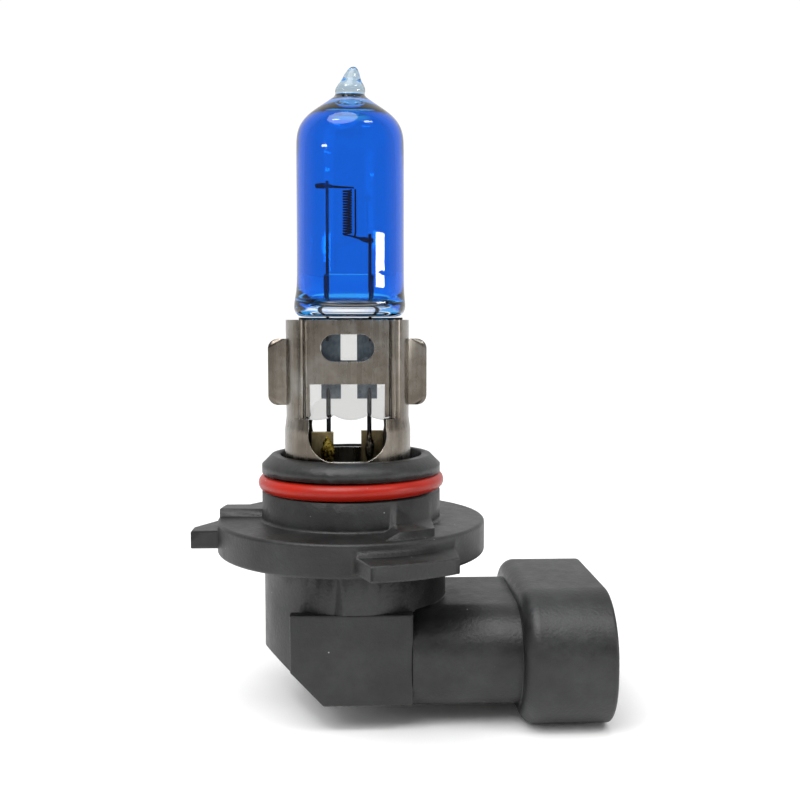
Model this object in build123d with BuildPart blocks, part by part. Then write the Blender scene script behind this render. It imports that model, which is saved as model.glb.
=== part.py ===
from build123d import *

import os

# A halogen headlight bulb with a right-angled plug socket.
# Origin: bulb axis at the flange's top face. +Z runs to the glass tip, +X to the socket mouth.

# Flange, the round plate that meets the lamp
flange_radius = 15.0
flange_thickness = 3.6
flange_round = 0.35
neck_root_round = 0.3

# Lugs on the flange, which turn under the lamp's hooks
lug_round = 0.2
side_lug_thickness = 2.0
side_lug_drop = 1.0           # flange top down to the lug's top face
side_lug_reach = 2.7          # beyond the flange's rim
side_lug_front = -2.75
side_lug_shoulder = -0.45
side_lug_back = 4.3
key_lug_drop = 1.4
key_lug_thickness = 1.7
key_lug_reach = 3.5
key_lug_left = 0.3
key_lug_right = 10.85
key_lug_taper = 1.6

# Raised pads on the flange, each upright on one side and ramped on the other, for each one:
# the way it runs, where its upright side is, its width, and how far it stops inside the rim
pads = ((-90, 8.6, 3.75, 1.0), (180, -0.45, 3.2, 0.1), (90, -3.4, 3.75, 1.0))
pad_height = 0.8
pad_ramp = 1.5

# Neck, which pilots in the lamp and carries the sealing ring
neck_radius = 10.0
neck_height = 7.2
neck_wall = 2.05
neck_chamfer = 1.05
groove_floor_height = 3.17
ring_section = 1.8
ring_stand_proud = 0.4
ring_clearance = 0.02         # under the ring
ring_side_play = 0.15

# Body below the flange
body_radius = 10.2
body_shift = 0.45
core_radius = 9.8
core_drop = 8.6
base_depth = 18.3

# Bow: the slanted underside on the blind side of the body
bow_start_drop = 15.1
bow_start_reach = 9.4
bow_slope = 0.94              # sideways run for each unit of drop
bow_sweep = 0.337             # sideways run for each unit away from the middle

# Cover, a saddle over the body that closes the terminal chamber
cover_reach = 6.45            # each way along X
cover_half_width = 10.1
cover_wall = 1.5
cover_round = 0.2
cover_lip = 0.05

# Right-angled socket
socket_drop = 14.15           # flange top down to the socket's centre line
tube_width = 20.8
tube_height = 11.0
tube_corner = 5.0
tube_side_wall = 1.8
tube_top_wall = 1.2
head_width = 26.0
head_height = 14.7
head_corner = 6.6
head_wall = 1.75
head_length = 9.7
head_round = 1.7
mouth_round = 0.4
socket_reach = 27.7
step_length = 1.6
inner_socket_depth = 17.7
rib_width = 1.2
rib_height = 0.9
rib_spacing = 9.0

# Terminals and their chamber
blade_width = 2.8
blade_thickness = 0.8
blade_spacing = 8.0
blade_recess = 4.6
tab_width = 2.45
tab_left_x = -3.2
tab_right_x = 2.35
tab_height = 9.7
weld_radius = 0.5
chamber_margin = 0.5
chamber_height = 1.5

# Steel clamp that holds the glass
sheet = 0.4
seat_ring_ledge = 0.9
seat_ring_height = 3.0
skirt_inset = 0.2             # the tube above is this much smaller than the skirt
clamp_shift = -0.38           # the clamp is set off the neck's axis, which centres the filament
bend_radius = 0.25            # inside of the clamp's bends
skirt_top = 10.0
skirt_foot = 0.35
cone_height = 1.5
clamp_top = 22.2
recess_half_width = 4.65
slot_width = 5.9
slot_height = 3.0
slot_centre_height = 19.1
window_half_width = 4.15
window_top = 15.1
window_foot = 7.1
window_foot_half_width = 2.0
window_corner_height = 3.4
window_corner_pull = 0.72     # how far the rounded corner reaches into the square one
wing_reach = 2.0
wing_bottom = 12.7
wing_top = 20.1
wing_corner = 1.1

# Glass
glass_radius = 5.92
glass_wall = 1.0
glass_foot = 22.5
glass_foot_bulge = 0.2
cylinder_length = 19.4        # foot to the start of the dome
dome_height = 3.35
dome_end_radius = 3.41
cone_end_radius = 1.65
cone_rise = 1.5
tip_waist_radius = 1.2
tip_waist_rise = 1.15
tip_end_radius = 0.5
tip_height = 3.1
floor_thickness = 2.7
pinch_thickness = 3.4
pinch_side_gap = 0.82
pinch_foot = 11.6
pinch_lobe = 0.55

# Wires sealed in the pinch
foil_thickness = 0.06
foil_foot = 13.45
foil_top = 21.0
foil_left_x = -2.2
foil_left_width = 2.14
foil_right_x = 1.79
foil_right_width = 2.22
weld_overlap = 1.2
outer_lead_radius = 0.25
outer_lead_left_x = -2.52
outer_lead_right_x = 2.04
outer_lead_foot = 7.1
inner_lead_radius = 0.18
long_lead_x = -2.57
long_lead_top = 37.5
short_lead_x = 2.16
short_lead_top = 31.7

# Filament and what holds it
coil_radius = 0.485
coil_wall = 0.17
coil_x = -0.38
coil_foot = 31.7
coil_top = 36.5
leg_radius = 0.12
upper_crimp_length = 1.9
upper_crimp_x = -2.95
upper_crimp_height = 36.9
lower_crimp_length = 1.66
lower_crimp_x = 1.83
lower_crimp_height = 31.0
crimp_radius = 0.32
stay_x = 0.56
stay_top = 36.6
stay_radius = 0.1

# Worked out from the sizes above
bore_radius = neck_radius - neck_wall
ring_centre_radius = neck_radius + ring_stand_proud - ring_section / 2
groove_radius = ring_centre_radius - ring_section / 2 - ring_clearance
groove_width = ring_section + 2 * ring_side_play
skirt_radius = bore_radius - seat_ring_ledge
tube_radius = skirt_radius - skirt_inset
tube_foot = skirt_top + cone_height
plate_face = pinch_thickness / 2 + sheet
pinch_half_width = tube_radius - sheet - pinch_side_gap
head_start = socket_reach - head_length
cover_inner = cover_half_width - cover_wall
chamber_floor = -(base_depth + cover_lip - cover_wall)
chamber_roof = -(socket_drop - chamber_height)
chamber_half_width = blade_spacing / 2 + blade_width / 2 + chamber_margin
chamber_left = tab_left_x - tab_width / 2 - chamber_margin
chamber_right = cover_reach - cover_wall
blade_tip = socket_reach - blade_recess
dome_start = glass_foot + cylinder_length
dome_end = dome_start + dome_height
cone_end = dome_end + cone_rise
far = 2 * (flange_radius + socket_reach)

os.makedirs("parts", exist_ok=True)


def finish(piece, name):
    """Label a finished piece and write its STEP file."""
    piece.part.label = name
    export_step(piece.part, f"parts/{name}.step")


def upright_wire(x, foot, top, radius):
    """A straight round wire that stands at x on the bulb's middle plane."""
    with BuildPart() as wire:
        with BuildSketch(Plane.XY.offset(foot)):
            with Locations((x, 0)):
                Circle(radius)
        extrude(amount=top - foot)
    return wire


def level_wire(start, end, height, radius):
    """A straight round wire along X on the bulb's middle plane."""
    with BuildPart() as wire:
        with BuildSketch(Plane.YZ.offset(start)):
            with Locations((0, height)):
                Circle(radius)
        extrude(amount=end - start)
    return wire


def clamp_outline(inset):
    """The clamp's outline seen from above, with both shells' faces moved in by inset."""
    with BuildSketch(mode=Mode.PRIVATE) as outline:
        Circle(tube_radius - inset)
        with Locations((0, plate_face - inset + tube_radius), (0, inset - plate_face - tube_radius)):
            recess_width = 2 * (recess_half_width + inset)
            RectangleRounded(recess_width, 2 * tube_radius, bend_radius + inset, mode=Mode.SUBTRACT)
        outer_bends = outline.vertices().filter_by(lambda v: abs(v.Y) > plate_face + bend_radius + sheet)
        fillet(outer_bends, radius=bend_radius + sheet - inset)
    return outline.sketch


def bow_planes():
    """The two slanted planes that meet on the middle plane and cut the body's blind lower side."""
    start = Vector(-bow_start_reach, 0, -bow_start_drop)
    for side in (-1, 1):
        down = Vector(bow_slope, 0, -1)
        across = Vector(bow_sweep, side, 0)
        normal = down.cross(across) * -side
        yield Plane(origin=start, x_dir=down, z_dir=normal)


# --- Foils: thin metal ribbons that carry the current through the sealed glass ---
def foil(x, width):
    """One foil, standing on the bulb's middle plane."""
    with BuildPart() as ribbon:
        with BuildSketch(Plane.XY.offset(foil_foot)):
            with Locations((x, 0)):
                Rectangle(width, foil_thickness)
        extrude(amount=foil_top - foil_foot)
    return ribbon


foil_left = foil(foil_left_x, foil_left_width)
foil_right = foil(foil_right_x, foil_right_width)
finish(foil_left, "foil_left")
finish(foil_right, "foil_right")


# --- Leads: wires welded to the foils, outside and inside the glass ---
def lead(x, foot, top, radius, ribbon):
    """A lead whose end is split over its foil."""
    with BuildPart() as wire:
        add(upright_wire(x, foot, top, radius).part)
        add(ribbon.part, mode=Mode.SUBTRACT)
    return wire


outer_lead_top = foil_foot + weld_overlap
inner_lead_foot = foil_top - weld_overlap
outer_lead_left = lead(outer_lead_left_x, outer_lead_foot, outer_lead_top, outer_lead_radius, foil_left)
outer_lead_right = lead(outer_lead_right_x, outer_lead_foot, outer_lead_top, outer_lead_radius, foil_right)
support_lead_long = lead(long_lead_x, inner_lead_foot, long_lead_top, inner_lead_radius, foil_left)
support_lead_short = lead(short_lead_x, inner_lead_foot, short_lead_top, inner_lead_radius, foil_right)
finish(outer_lead_left, "outer_lead_left")
finish(outer_lead_right, "outer_lead_right")
finish(support_lead_long, "support_lead_long")
finish(support_lead_short, "support_lead_short")


# --- Filament: the coil's outer shape with its two legs ---
riser_radius = coil_wall / 3
riser_reach = coil_radius - coil_wall / 2
with BuildPart() as filament:
    with BuildSketch(Plane.XY.offset(coil_foot)):
        with Locations((coil_x, 0)):
            Circle(coil_radius)
            Circle(coil_radius - coil_wall, mode=Mode.SUBTRACT)
    extrude(amount=coil_top - coil_foot)
    add(level_wire(long_lead_x, coil_x, upper_crimp_height, leg_radius).part)
    add(level_wire(coil_x, short_lead_x, lower_crimp_height, leg_radius).part)
    add(upright_wire(coil_x - riser_reach, coil_top, upper_crimp_height, riser_radius).part)
    add(upright_wire(coil_x + riser_reach, lower_crimp_height, coil_foot, riser_radius).part)
    add(support_lead_long.part, mode=Mode.SUBTRACT)
    add(support_lead_short.part, mode=Mode.SUBTRACT)
finish(filament, "filament")


def crimp(x, height, length, post):
    """A sleeve that grips a filament leg on its support lead."""
    with BuildPart() as sleeve:
        add(level_wire(x - length / 2, x + length / 2, height, crimp_radius).part)
        add(post.part, mode=Mode.SUBTRACT)
        add(filament.part, mode=Mode.SUBTRACT)
    return sleeve


crimp_upper = crimp(upper_crimp_x, upper_crimp_height, upper_crimp_length, support_lead_long)
crimp_lower = crimp(lower_crimp_x, lower_crimp_height, lower_crimp_length, support_lead_short)
finish(crimp_upper, "crimp_upper")
finish(crimp_lower, "crimp_lower")

# --- Stay wire: stands on the lower leg beside the coil ---
stay_wire = upright_wire(stay_x, lower_crimp_height + leg_radius, stay_top, stay_radius)
finish(stay_wire, "stay_wire")

# --- Glass: tube with a domed end, drawn-off tip and flat pinch ---
inner_radius = glass_radius - glass_wall
cavity_floor = glass_foot + floor_thickness
with BuildPart() as glass_envelope:
    with BuildSketch(Plane.XZ):
        with BuildLine():
            foot_edge = (glass_radius - 0.7, glass_foot)
            bulge_edge = (glass_radius + glass_foot_bulge, glass_foot + 1.2)
            side_start = (glass_radius, glass_foot + 3.0)
            Line((0, glass_foot), foot_edge)
            ThreePointArc(foot_edge, (glass_radius + 0.12, glass_foot + 0.35), bulge_edge)
            Line(bulge_edge, side_start)
            Line(side_start, (glass_radius, dome_start))
            Spline(
                (glass_radius, dome_start),
                (glass_radius - 0.45, dome_start + 0.46 * dome_height),
                (dome_end_radius, dome_end),
                tangents=((0, 1), (dome_end_radius - cone_end_radius, -cone_rise)),
                tangent_scalars=(1, -1),
            )
            Line((dome_end_radius, dome_end), (cone_end_radius, cone_end))
            tip_waist = (tip_waist_radius, cone_end + tip_waist_rise)
            tip_end = (tip_end_radius, cone_end + tip_height - tip_end_radius)
            bead = ((cone_end_radius + tip_waist_radius) / 2 + 0.12, cone_end + tip_waist_rise / 2)
            ThreePointArc((cone_end_radius, cone_end), bead, tip_waist)
            Line(tip_waist, tip_end)
            tip_arc = CenterArc((0, tip_end[1]), tip_end_radius, 0, 90)
            Line(tip_arc @ 1, (0, glass_foot))
        make_face()
    revolve(axis=Axis.Z)
    with BuildSketch(Plane.XZ):
        with BuildLine():
            floor_edge = (inner_radius - 1.1, cavity_floor)
            wall_start = (inner_radius, cavity_floor + 1.1)
            inner_dome = (dome_end_radius - 0.75, dome_end - glass_wall)
            Line((0, cavity_floor), floor_edge)
            ThreePointArc(floor_edge, (inner_radius - 0.32, cavity_floor + 0.32), wall_start)
            Line(wall_start, (inner_radius, dome_start))
            ThreePointArc((inner_radius, dome_start), (inner_radius - 0.45, dome_start + 1.4), inner_dome)
            Line(inner_dome, (0.4, cone_end - glass_wall))
            Line((0.4, cone_end - glass_wall), (0, cone_end - glass_wall))
            Line((0, cone_end - glass_wall), (0, cavity_floor))
        make_face()
    revolve(axis=Axis.Z, mode=Mode.SUBTRACT)
    with BuildSketch(Plane.XZ):
        with BuildLine():
            lobe = 2 * pinch_half_width / 3
            Line((-pinch_half_width, pinch_foot), (-pinch_half_width, glass_foot + 1))
            Line((-pinch_half_width, glass_foot + 1), (pinch_half_width, glass_foot + 1))
            Line((pinch_half_width, glass_foot + 1), (pinch_half_width, pinch_foot))
            for edge in (pinch_half_width, pinch_half_width - lobe, pinch_half_width - 2 * lobe):
                ThreePointArc(
                    (edge, pinch_foot), (edge - lobe / 2, pinch_foot - pinch_lobe), (edge - lobe, pinch_foot)
                )
        make_face()
    extrude(amount=pinch_thickness / 2, both=True)
    for sealed in (foil_left, foil_right, outer_lead_left, outer_lead_right):
        add(sealed.part, mode=Mode.SUBTRACT)
    for sealed in (support_lead_long, support_lead_short):
        add(sealed.part, mode=Mode.SUBTRACT)
finish(glass_envelope, "glass_envelope")

# --- Clamp: two pressed steel shells that grip the pinch and stand in the base ---
with BuildPart() as clamp_front:
    with BuildSketch(Plane.XY.offset(tube_foot)):
        add(clamp_outline(0))
        add(clamp_outline(sheet), mode=Mode.SUBTRACT)
    extrude(amount=clamp_top - tube_foot)
    with BuildSketch(Plane.XZ):
        with BuildLine():
            Polyline(
                (skirt_radius, skirt_foot),
                (skirt_radius, skirt_top),
                (tube_radius, tube_foot),
                (tube_radius - sheet, tube_foot),
                (skirt_radius - sheet, skirt_top),
                (skirt_radius - sheet, skirt_foot),
                close=True,
            )
        make_face()
    revolve(axis=Axis.Z)
    with BuildSketch(Plane.XZ):
        with Locations((0, slot_centre_height)):
            SlotOverall(slot_width, slot_height)
    extrude(amount=tube_radius, both=True, mode=Mode.SUBTRACT)
    with BuildSketch(Plane.XZ):
        with BuildLine():
            corner = window_foot + window_corner_height
            corner_width = window_half_width - window_foot_half_width
            arc_middle = window_foot_half_width + window_corner_pull * corner_width
            arc_height = corner - window_corner_pull * window_corner_height
            Line((-window_half_width, corner), (-window_half_width, window_top))
            Line((-window_half_width, window_top), (window_half_width, window_top))
            Line((window_half_width, window_top), (window_half_width, corner))
            ThreePointArc(
                (window_half_width, corner),
                (arc_middle, arc_height),
                (window_foot_half_width, window_foot),
            )
            Line((window_foot_half_width, window_foot), (-window_foot_half_width, window_foot))
            ThreePointArc(
                (-window_foot_half_width, window_foot),
                (-arc_middle, arc_height),
                (-window_half_width, corner),
            )
        make_face()
    extrude(amount=2 * skirt_radius, both=True, mode=Mode.SUBTRACT)
    split(bisect_by=Plane.XZ, keep=Keep.TOP)
    with BuildSketch(Plane.XZ) as wings:
        for side in (-1, 1):
            with Locations((side * (tube_radius + wing_reach / 2 - sheet / 2), (wing_bottom + wing_top) / 2)):
                Rectangle(wing_reach + sheet, wing_top - wing_bottom)
        outer_corners = [v for v in wings.vertices() if abs(v.X) > tube_radius]
        fillet(outer_corners, radius=wing_corner)
    extrude(amount=sheet)
clamp_front.part = clamp_front.part.moved(Location((clamp_shift, 0, 0)))
finish(clamp_front, "clamp_front")

with BuildPart() as clamp_rear:
    mirror(clamp_front.part, about=Plane.XZ)
finish(clamp_rear, "clamp_rear")

# --- Mounting ring: angled steel ring that sits in the base and is welded to the skirt ---
with BuildPart() as mounting_ring:
    with BuildSketch():
        Circle(bore_radius)
        with Locations((clamp_shift, 0)):
            Circle(skirt_radius, mode=Mode.SUBTRACT)
    extrude(amount=sheet)
    with BuildSketch():
        with Locations((clamp_shift, 0)):
            Circle(skirt_radius + sheet)
            Circle(skirt_radius, mode=Mode.SUBTRACT)
    extrude(amount=seat_ring_height)
finish(mounting_ring, "mounting_ring")


# --- Terminals: brass strips, upright in the neck and folded flat into the socket blades ---
def terminal(tab_x, side):
    """One terminal. side is -1 for the front blade and 1 for the rear one."""
    blade_y = side * blade_spacing / 2
    blade_outer = abs(blade_y) + blade_width / 2
    tab_left = tab_x - tab_width / 2
    with BuildPart() as strip:
        with BuildSketch(Plane.XY.offset(-socket_drop - blade_thickness / 2)):
            with Locations((tab_x, side * (outer_lead_radius + blade_thickness / 2))):
                Rectangle(tab_width, blade_thickness)
        extrude(amount=tab_height + socket_drop + blade_thickness / 2)
        with BuildSketch(Plane.XY.offset(-socket_drop - blade_thickness / 2)):
            with Locations((tab_x, side * (outer_lead_radius + blade_outer) / 2)):
                Rectangle(tab_width, blade_outer - outer_lead_radius)
            with Locations(((tab_left + blade_tip) / 2, blade_y)):
                Rectangle(blade_tip - tab_left, blade_width)
        extrude(amount=blade_thickness)
        tip_edges = strip.edges().filter_by(Axis.Y).group_by(Axis.X)[-1]
        chamfer(tip_edges, length=blade_thickness / 4)
    return strip


terminal_left = terminal(tab_left_x, -1)
terminal_right = terminal(tab_right_x, 1)
finish(terminal_left, "terminal_left")
finish(terminal_right, "terminal_right")

# --- Weld beads where the outer leads are welded through the terminals ---
weld_height = (outer_lead_foot + tab_height) / 2
weld_face = outer_lead_radius + blade_thickness
with BuildPart() as lead_welds:
    left_weld = (outer_lead_left_x, -weld_face, weld_height)
    right_weld = (outer_lead_right_x, weld_face, weld_height)
    with Locations(left_weld, right_weld):
        Sphere(weld_radius)
    for joined in (terminal_left, terminal_right):
        add(joined.part, mode=Mode.SUBTRACT)
finish(lead_welds, "lead_welds")

# --- Terminal seal: resin that fills the chamber round the folded terminals ---
with BuildPart() as terminal_seal:
    with BuildSketch(Plane.XY.offset(chamber_floor)):
        with Locations(((chamber_left + chamber_right) / 2, 0)):
            Rectangle(chamber_right - chamber_left, 2 * chamber_half_width)
    extrude(amount=chamber_roof - chamber_floor)
    for sealed in (terminal_left, terminal_right):
        add(sealed.part, mode=Mode.SUBTRACT)
finish(terminal_seal, "terminal_seal")

# --- Parts of the housing that are shaped by themselves and then joined to it ---
with BuildPart() as side_lug:
    with BuildSketch(Plane.XY.offset(-side_lug_drop - side_lug_thickness)):
        with BuildLine():
            Polyline(
                (-neck_radius, side_lug_front),
                (-flange_radius - side_lug_reach, side_lug_front),
                (-flange_radius - side_lug_reach, side_lug_shoulder),
                (-flange_radius, side_lug_back),
                (-neck_radius, side_lug_back),
                close=True,
            )
        make_face()
    extrude(amount=side_lug_thickness)
    fillet(side_lug.edges().filter_by(Plane.XY), radius=lug_round)

with BuildPart() as key_lugs:
    with BuildSketch(Plane.XY.offset(-key_lug_drop - key_lug_thickness)):
        with BuildLine():
            Polyline(
                (key_lug_left, 0),
                (key_lug_left, flange_round - flange_radius),
                (key_lug_left + key_lug_taper, -flange_radius - key_lug_reach),
                (key_lug_right, -flange_radius - key_lug_reach),
                (key_lug_right, 0),
                close=True,
            )
        make_face()
        mirror(about=Plane.XZ)
        Circle(flange_radius + key_lug_reach, mode=Mode.INTERSECT)
    extrude(amount=key_lug_thickness)
    fillet(key_lugs.edges().filter_by(Plane.XY), radius=lug_round)

with BuildPart() as socket_head:
    with BuildSketch(Plane.YZ.offset(head_start)):
        with Locations((0, -socket_drop)):
            RectangleRounded(head_width, head_height, head_corner)
    extrude(amount=head_length)
    fillet(socket_head.faces().sort_by(Axis.X)[0].edges(), radius=head_round)
    fillet(socket_head.faces().sort_by(Axis.X)[-1].edges(), radius=mouth_round)


def raised_pad(angle, upright, width, inset):
    """A pad that runs out from the neck's wall to the given distance inside the flange's rim."""
    along = Vector(1, 0, 0).rotate(Axis.Z, angle)
    across = Vector(0, 1, 0).rotate(Axis.Z, angle)
    with BuildPart() as pad:
        with BuildSketch(Plane(origin=(0, 0, 0), x_dir=across, z_dir=along)):
            with BuildLine():
                Polyline(
                    (upright - width - pad_ramp, 0),
                    (upright - width, pad_height),
                    (upright, pad_height),
                    (upright, -flange_thickness / 2),
                    (upright - width - pad_ramp, -flange_thickness / 2),
                    close=True,
                )
            make_face()
        extrude(amount=flange_radius)
        with BuildSketch(Plane.XY.offset(-flange_thickness / 2)):
            Circle(flange_radius - inset)
        extrude(amount=flange_thickness, mode=Mode.INTERSECT)
        with BuildSketch(Plane.XY.offset(-flange_thickness / 2)):
            Circle(neck_radius - neck_wall / 2)
        extrude(amount=flange_thickness, mode=Mode.SUBTRACT)
    return pad


# --- Base housing: moulded body with neck, flange, lugs and socket ---
with BuildPart() as base_housing:
    with BuildSketch(Plane.XZ) as turned:
        with BuildLine():
            Polyline(
                (0, -base_depth),
                (core_radius, -base_depth),
                (core_radius, -flange_thickness),
                (flange_radius, -flange_thickness),
                (flange_radius, 0),
                (neck_radius, 0),
                (neck_radius, groove_floor_height),
                (groove_radius, groove_floor_height),
                (groove_radius, groove_floor_height + groove_width),
                (neck_radius, groove_floor_height + groove_width),
                (neck_radius, neck_height - neck_chamfer),
                (neck_radius - neck_chamfer, neck_height),
                (bore_radius, neck_height),
                (bore_radius, 0),
                (0, 0),
                close=True,
            )
        make_face()
        root = turned.vertices().filter_by(lambda v: abs(v.X - neck_radius) + abs(v.Y) < 0.01)
        fillet(root, radius=neck_root_round)
    revolve(axis=Axis.Z)
    circles = base_housing.edges().filter_by(GeomType.CIRCLE)
    rims = circles.filter_by(lambda e: abs(e.radius - flange_radius) < 0.01)
    fillet(rims, radius=flange_round)
    add(side_lug.part)
    add(key_lugs.part)
    for angle, upright, width, inset in pads:
        add(raised_pad(angle, upright, width, inset).part)
    with BuildSketch(Plane.XY.offset(-core_drop)):
        with Locations((body_shift, 0)):
            Circle(body_radius)
    extrude(amount=core_drop - flange_thickness / 2)

    # Socket tube and head
    with BuildSketch(Plane.YZ.offset(cover_reach)):
        with Locations((0, -socket_drop)):
            RectangleRounded(tube_width, tube_height, tube_corner)
    extrude(amount=head_start - cover_reach)
    add(socket_head.part)

    # The body is cut back for the cover and cut slanting on the blind side
    with BuildSketch(Plane.YZ.offset(-cover_reach)):
        with Locations((0, -core_drop - base_depth / 2)):
            Rectangle(far, base_depth)
        with Locations((0, chamber_floor + far / 2)):
            Rectangle(2 * cover_inner, far, mode=Mode.SUBTRACT)
    extrude(amount=2 * cover_reach, mode=Mode.SUBTRACT)
    for plane in bow_planes():
        split(bisect_by=plane, keep=Keep.BOTTOM)

    # Two-step socket, with coding ribs on the roof of its mouth
    with BuildSketch(Plane.YZ.offset(socket_reach)):
        with Locations((0, -socket_drop)):
            RectangleRounded(head_width - 2 * head_wall, head_height - 2 * head_wall, head_corner - head_wall)
    extrude(amount=step_length - head_length, mode=Mode.SUBTRACT)
    with BuildSketch(Plane.YZ.offset(socket_reach)):
        with Locations((0, -socket_drop)):
            RectangleRounded(
                tube_width - 2 * tube_side_wall, tube_height - 2 * tube_top_wall, tube_corner - tube_side_wall
            )
    extrude(amount=-inner_socket_depth, mode=Mode.SUBTRACT)
    with BuildSketch(Plane.XY.offset(-socket_drop + head_height / 2 - head_wall)):
        with Locations((head_start + head_length / 2, 0)):
            with GridLocations(0, rib_spacing, 1, 2):
                Rectangle(head_length - 2 * step_length, rib_width)
    extrude(amount=-rib_height)

    # Hollows for the pieces moulded in
    add(terminal_seal.part, mode=Mode.SUBTRACT)
    add(terminal_left.part, mode=Mode.SUBTRACT)
    add(terminal_right.part, mode=Mode.SUBTRACT)
finish(base_housing, "base_housing")

# --- Cover: a saddle over the body's underside that closes the terminal chamber ---
with BuildPart() as terminal_cover:
    with BuildSketch(Plane.YZ.offset(-cover_reach)):
        with Locations((0, -(core_drop + base_depth + cover_lip) / 2)):
            Rectangle(2 * cover_half_width, base_depth + cover_lip - core_drop)
        with Locations((0, chamber_floor + far / 2)):
            Rectangle(2 * cover_inner, far, mode=Mode.SUBTRACT)
    extrude(amount=2 * cover_reach)
    for plane in bow_planes():
        split(bisect_by=plane, keep=Keep.BOTTOM)
    for side in (0, -1):
        fillet(terminal_cover.faces().sort_by(Axis.Y)[side].edges(), radius=cover_round)
finish(terminal_cover, "terminal_cover")

# --- Sealing ring: rubber ring seated in the neck's groove ---
with BuildPart() as o_ring:
    with BuildSketch(Plane.XZ):
        with Locations((ring_centre_radius, groove_floor_height + groove_width / 2)):
            Circle(ring_section / 2)
    revolve(axis=Axis.Z)
finish(o_ring, "o_ring")
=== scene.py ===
import math

import bmesh
import bpy
from mathutils import Matrix, Vector, noise


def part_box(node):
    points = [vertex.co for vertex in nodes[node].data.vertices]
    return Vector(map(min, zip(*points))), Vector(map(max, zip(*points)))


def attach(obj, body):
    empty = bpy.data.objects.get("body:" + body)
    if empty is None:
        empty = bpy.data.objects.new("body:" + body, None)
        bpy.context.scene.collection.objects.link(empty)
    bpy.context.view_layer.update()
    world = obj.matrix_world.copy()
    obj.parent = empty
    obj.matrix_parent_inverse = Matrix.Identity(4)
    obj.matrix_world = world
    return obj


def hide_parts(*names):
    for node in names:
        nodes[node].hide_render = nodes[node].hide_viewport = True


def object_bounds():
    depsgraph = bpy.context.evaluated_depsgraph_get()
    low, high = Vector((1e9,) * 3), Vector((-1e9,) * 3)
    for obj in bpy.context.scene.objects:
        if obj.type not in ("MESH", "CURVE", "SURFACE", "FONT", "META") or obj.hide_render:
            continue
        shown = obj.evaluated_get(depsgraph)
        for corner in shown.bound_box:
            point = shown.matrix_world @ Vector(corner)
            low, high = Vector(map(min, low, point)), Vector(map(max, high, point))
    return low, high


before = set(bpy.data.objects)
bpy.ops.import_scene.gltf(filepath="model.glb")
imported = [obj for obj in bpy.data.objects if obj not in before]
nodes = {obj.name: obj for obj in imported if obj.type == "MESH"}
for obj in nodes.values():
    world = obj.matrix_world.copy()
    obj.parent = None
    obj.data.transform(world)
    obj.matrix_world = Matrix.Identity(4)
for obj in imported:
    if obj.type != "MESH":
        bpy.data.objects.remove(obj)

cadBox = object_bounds()
mm = 0.001
mergeDistance = 1e-4     # in millimetres: points nearer than this are one point


# sRGB hex to linear colour with alpha
def rgb(hexText):
    channels = [int(hexText[i:i + 2], 16) / 255 for i in (0, 2, 4)]
    linear = [c / 12.92 if c <= 0.04045 else ((c + 0.055) / 1.055) ** 2.4 for c in channels]
    return (*linear, 1.0)


# a pattern size in millimetres as a texture scale on metre coordinates
def perMm(size):
    return 1 / (size * mm)


# adds a node with its settings. A value that is a socket is linked
def addNode(tree, kind, settings=None, values=None):
    node = tree.nodes.new(kind)
    for name, value in (settings or {}).items():
        setattr(node, name, value)
    for name, value in (values or {}).items():
        if isinstance(value, bpy.types.NodeSocket):
            tree.links.new(value, node.inputs[name])
        else:
            node.inputs[name].default_value = value
    return node


def newMaterial(name):
    material = bpy.data.materials.new(name)
    material.use_nodes = True
    material.node_tree.nodes.clear()
    return material, material.node_tree


# the lowest and highest corner of a CAD node, in millimetres
def boxOf(name):
    low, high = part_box(name)
    return low / mm, high / mm


# a rod on the bulb's middle plane, through stations of (x, z, radius), closed at both ends
def addRod(bm, stations, sides=12, squash=1.0):
    rings = []
    centres = [Vector((x, 0, z)) for x, z, radius in stations]
    for index, station in enumerate(stations):
        before = centres[max(index - 1, 0)]
        after = centres[min(index + 1, len(centres) - 1)]
        turn = (after - before).to_track_quat("Z", "Y").to_matrix().to_4x4()
        ring = bmesh.ops.create_circle(bm, segments=sides, radius=station[2])["verts"]
        bmesh.ops.transform(bm, verts=ring, matrix=turn)
        bmesh.ops.scale(bm, verts=ring, vec=(1, squash, 1))
        bmesh.ops.translate(bm, verts=ring, vec=centres[index])
        rings.append({edge for vert in ring for edge in vert.link_edges})
    for near, away in zip(rings, rings[1:]):
        bmesh.ops.bridge_loops(bm, edges=list(near | away))
    for end in (rings[0], rings[-1]):
        bmesh.ops.edgeloop_fill(bm, edges=list(end))


# a chain of points (radius, z) spun round the bulb's axis
def addTurned(bm, outline, steps, flipped=False):
    verts = [bm.verts.new((x, 0, z)) for x, z in outline]
    edges = [bm.edges.new(pair) for pair in zip(verts, verts[1:])]
    before = set(bm.faces)
    bmesh.ops.spin(bm, geom=verts + edges, cent=(0, 0, 0), axis=(0, 0, 1), angle=math.tau,
                   steps=steps, use_merge=True)
    made = [face for face in bm.faces if face not in before]
    madeVerts = list({vert for face in made for vert in face.verts})
    bmesh.ops.remove_doubles(bm, verts=madeVerts, dist=mergeDistance)
    made = [face for face in bm.faces if face not in before]
    bmesh.ops.recalc_face_normals(bm, faces=made)
    if flipped:
        bmesh.ops.reverse_faces(bm, faces=made)
    return made


# pairs of (out, up), moved to where the part of the outline that they describe starts
def moved(pairs, out, up):
    return [(x + out, z + up) for x, z in pairs]


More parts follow.
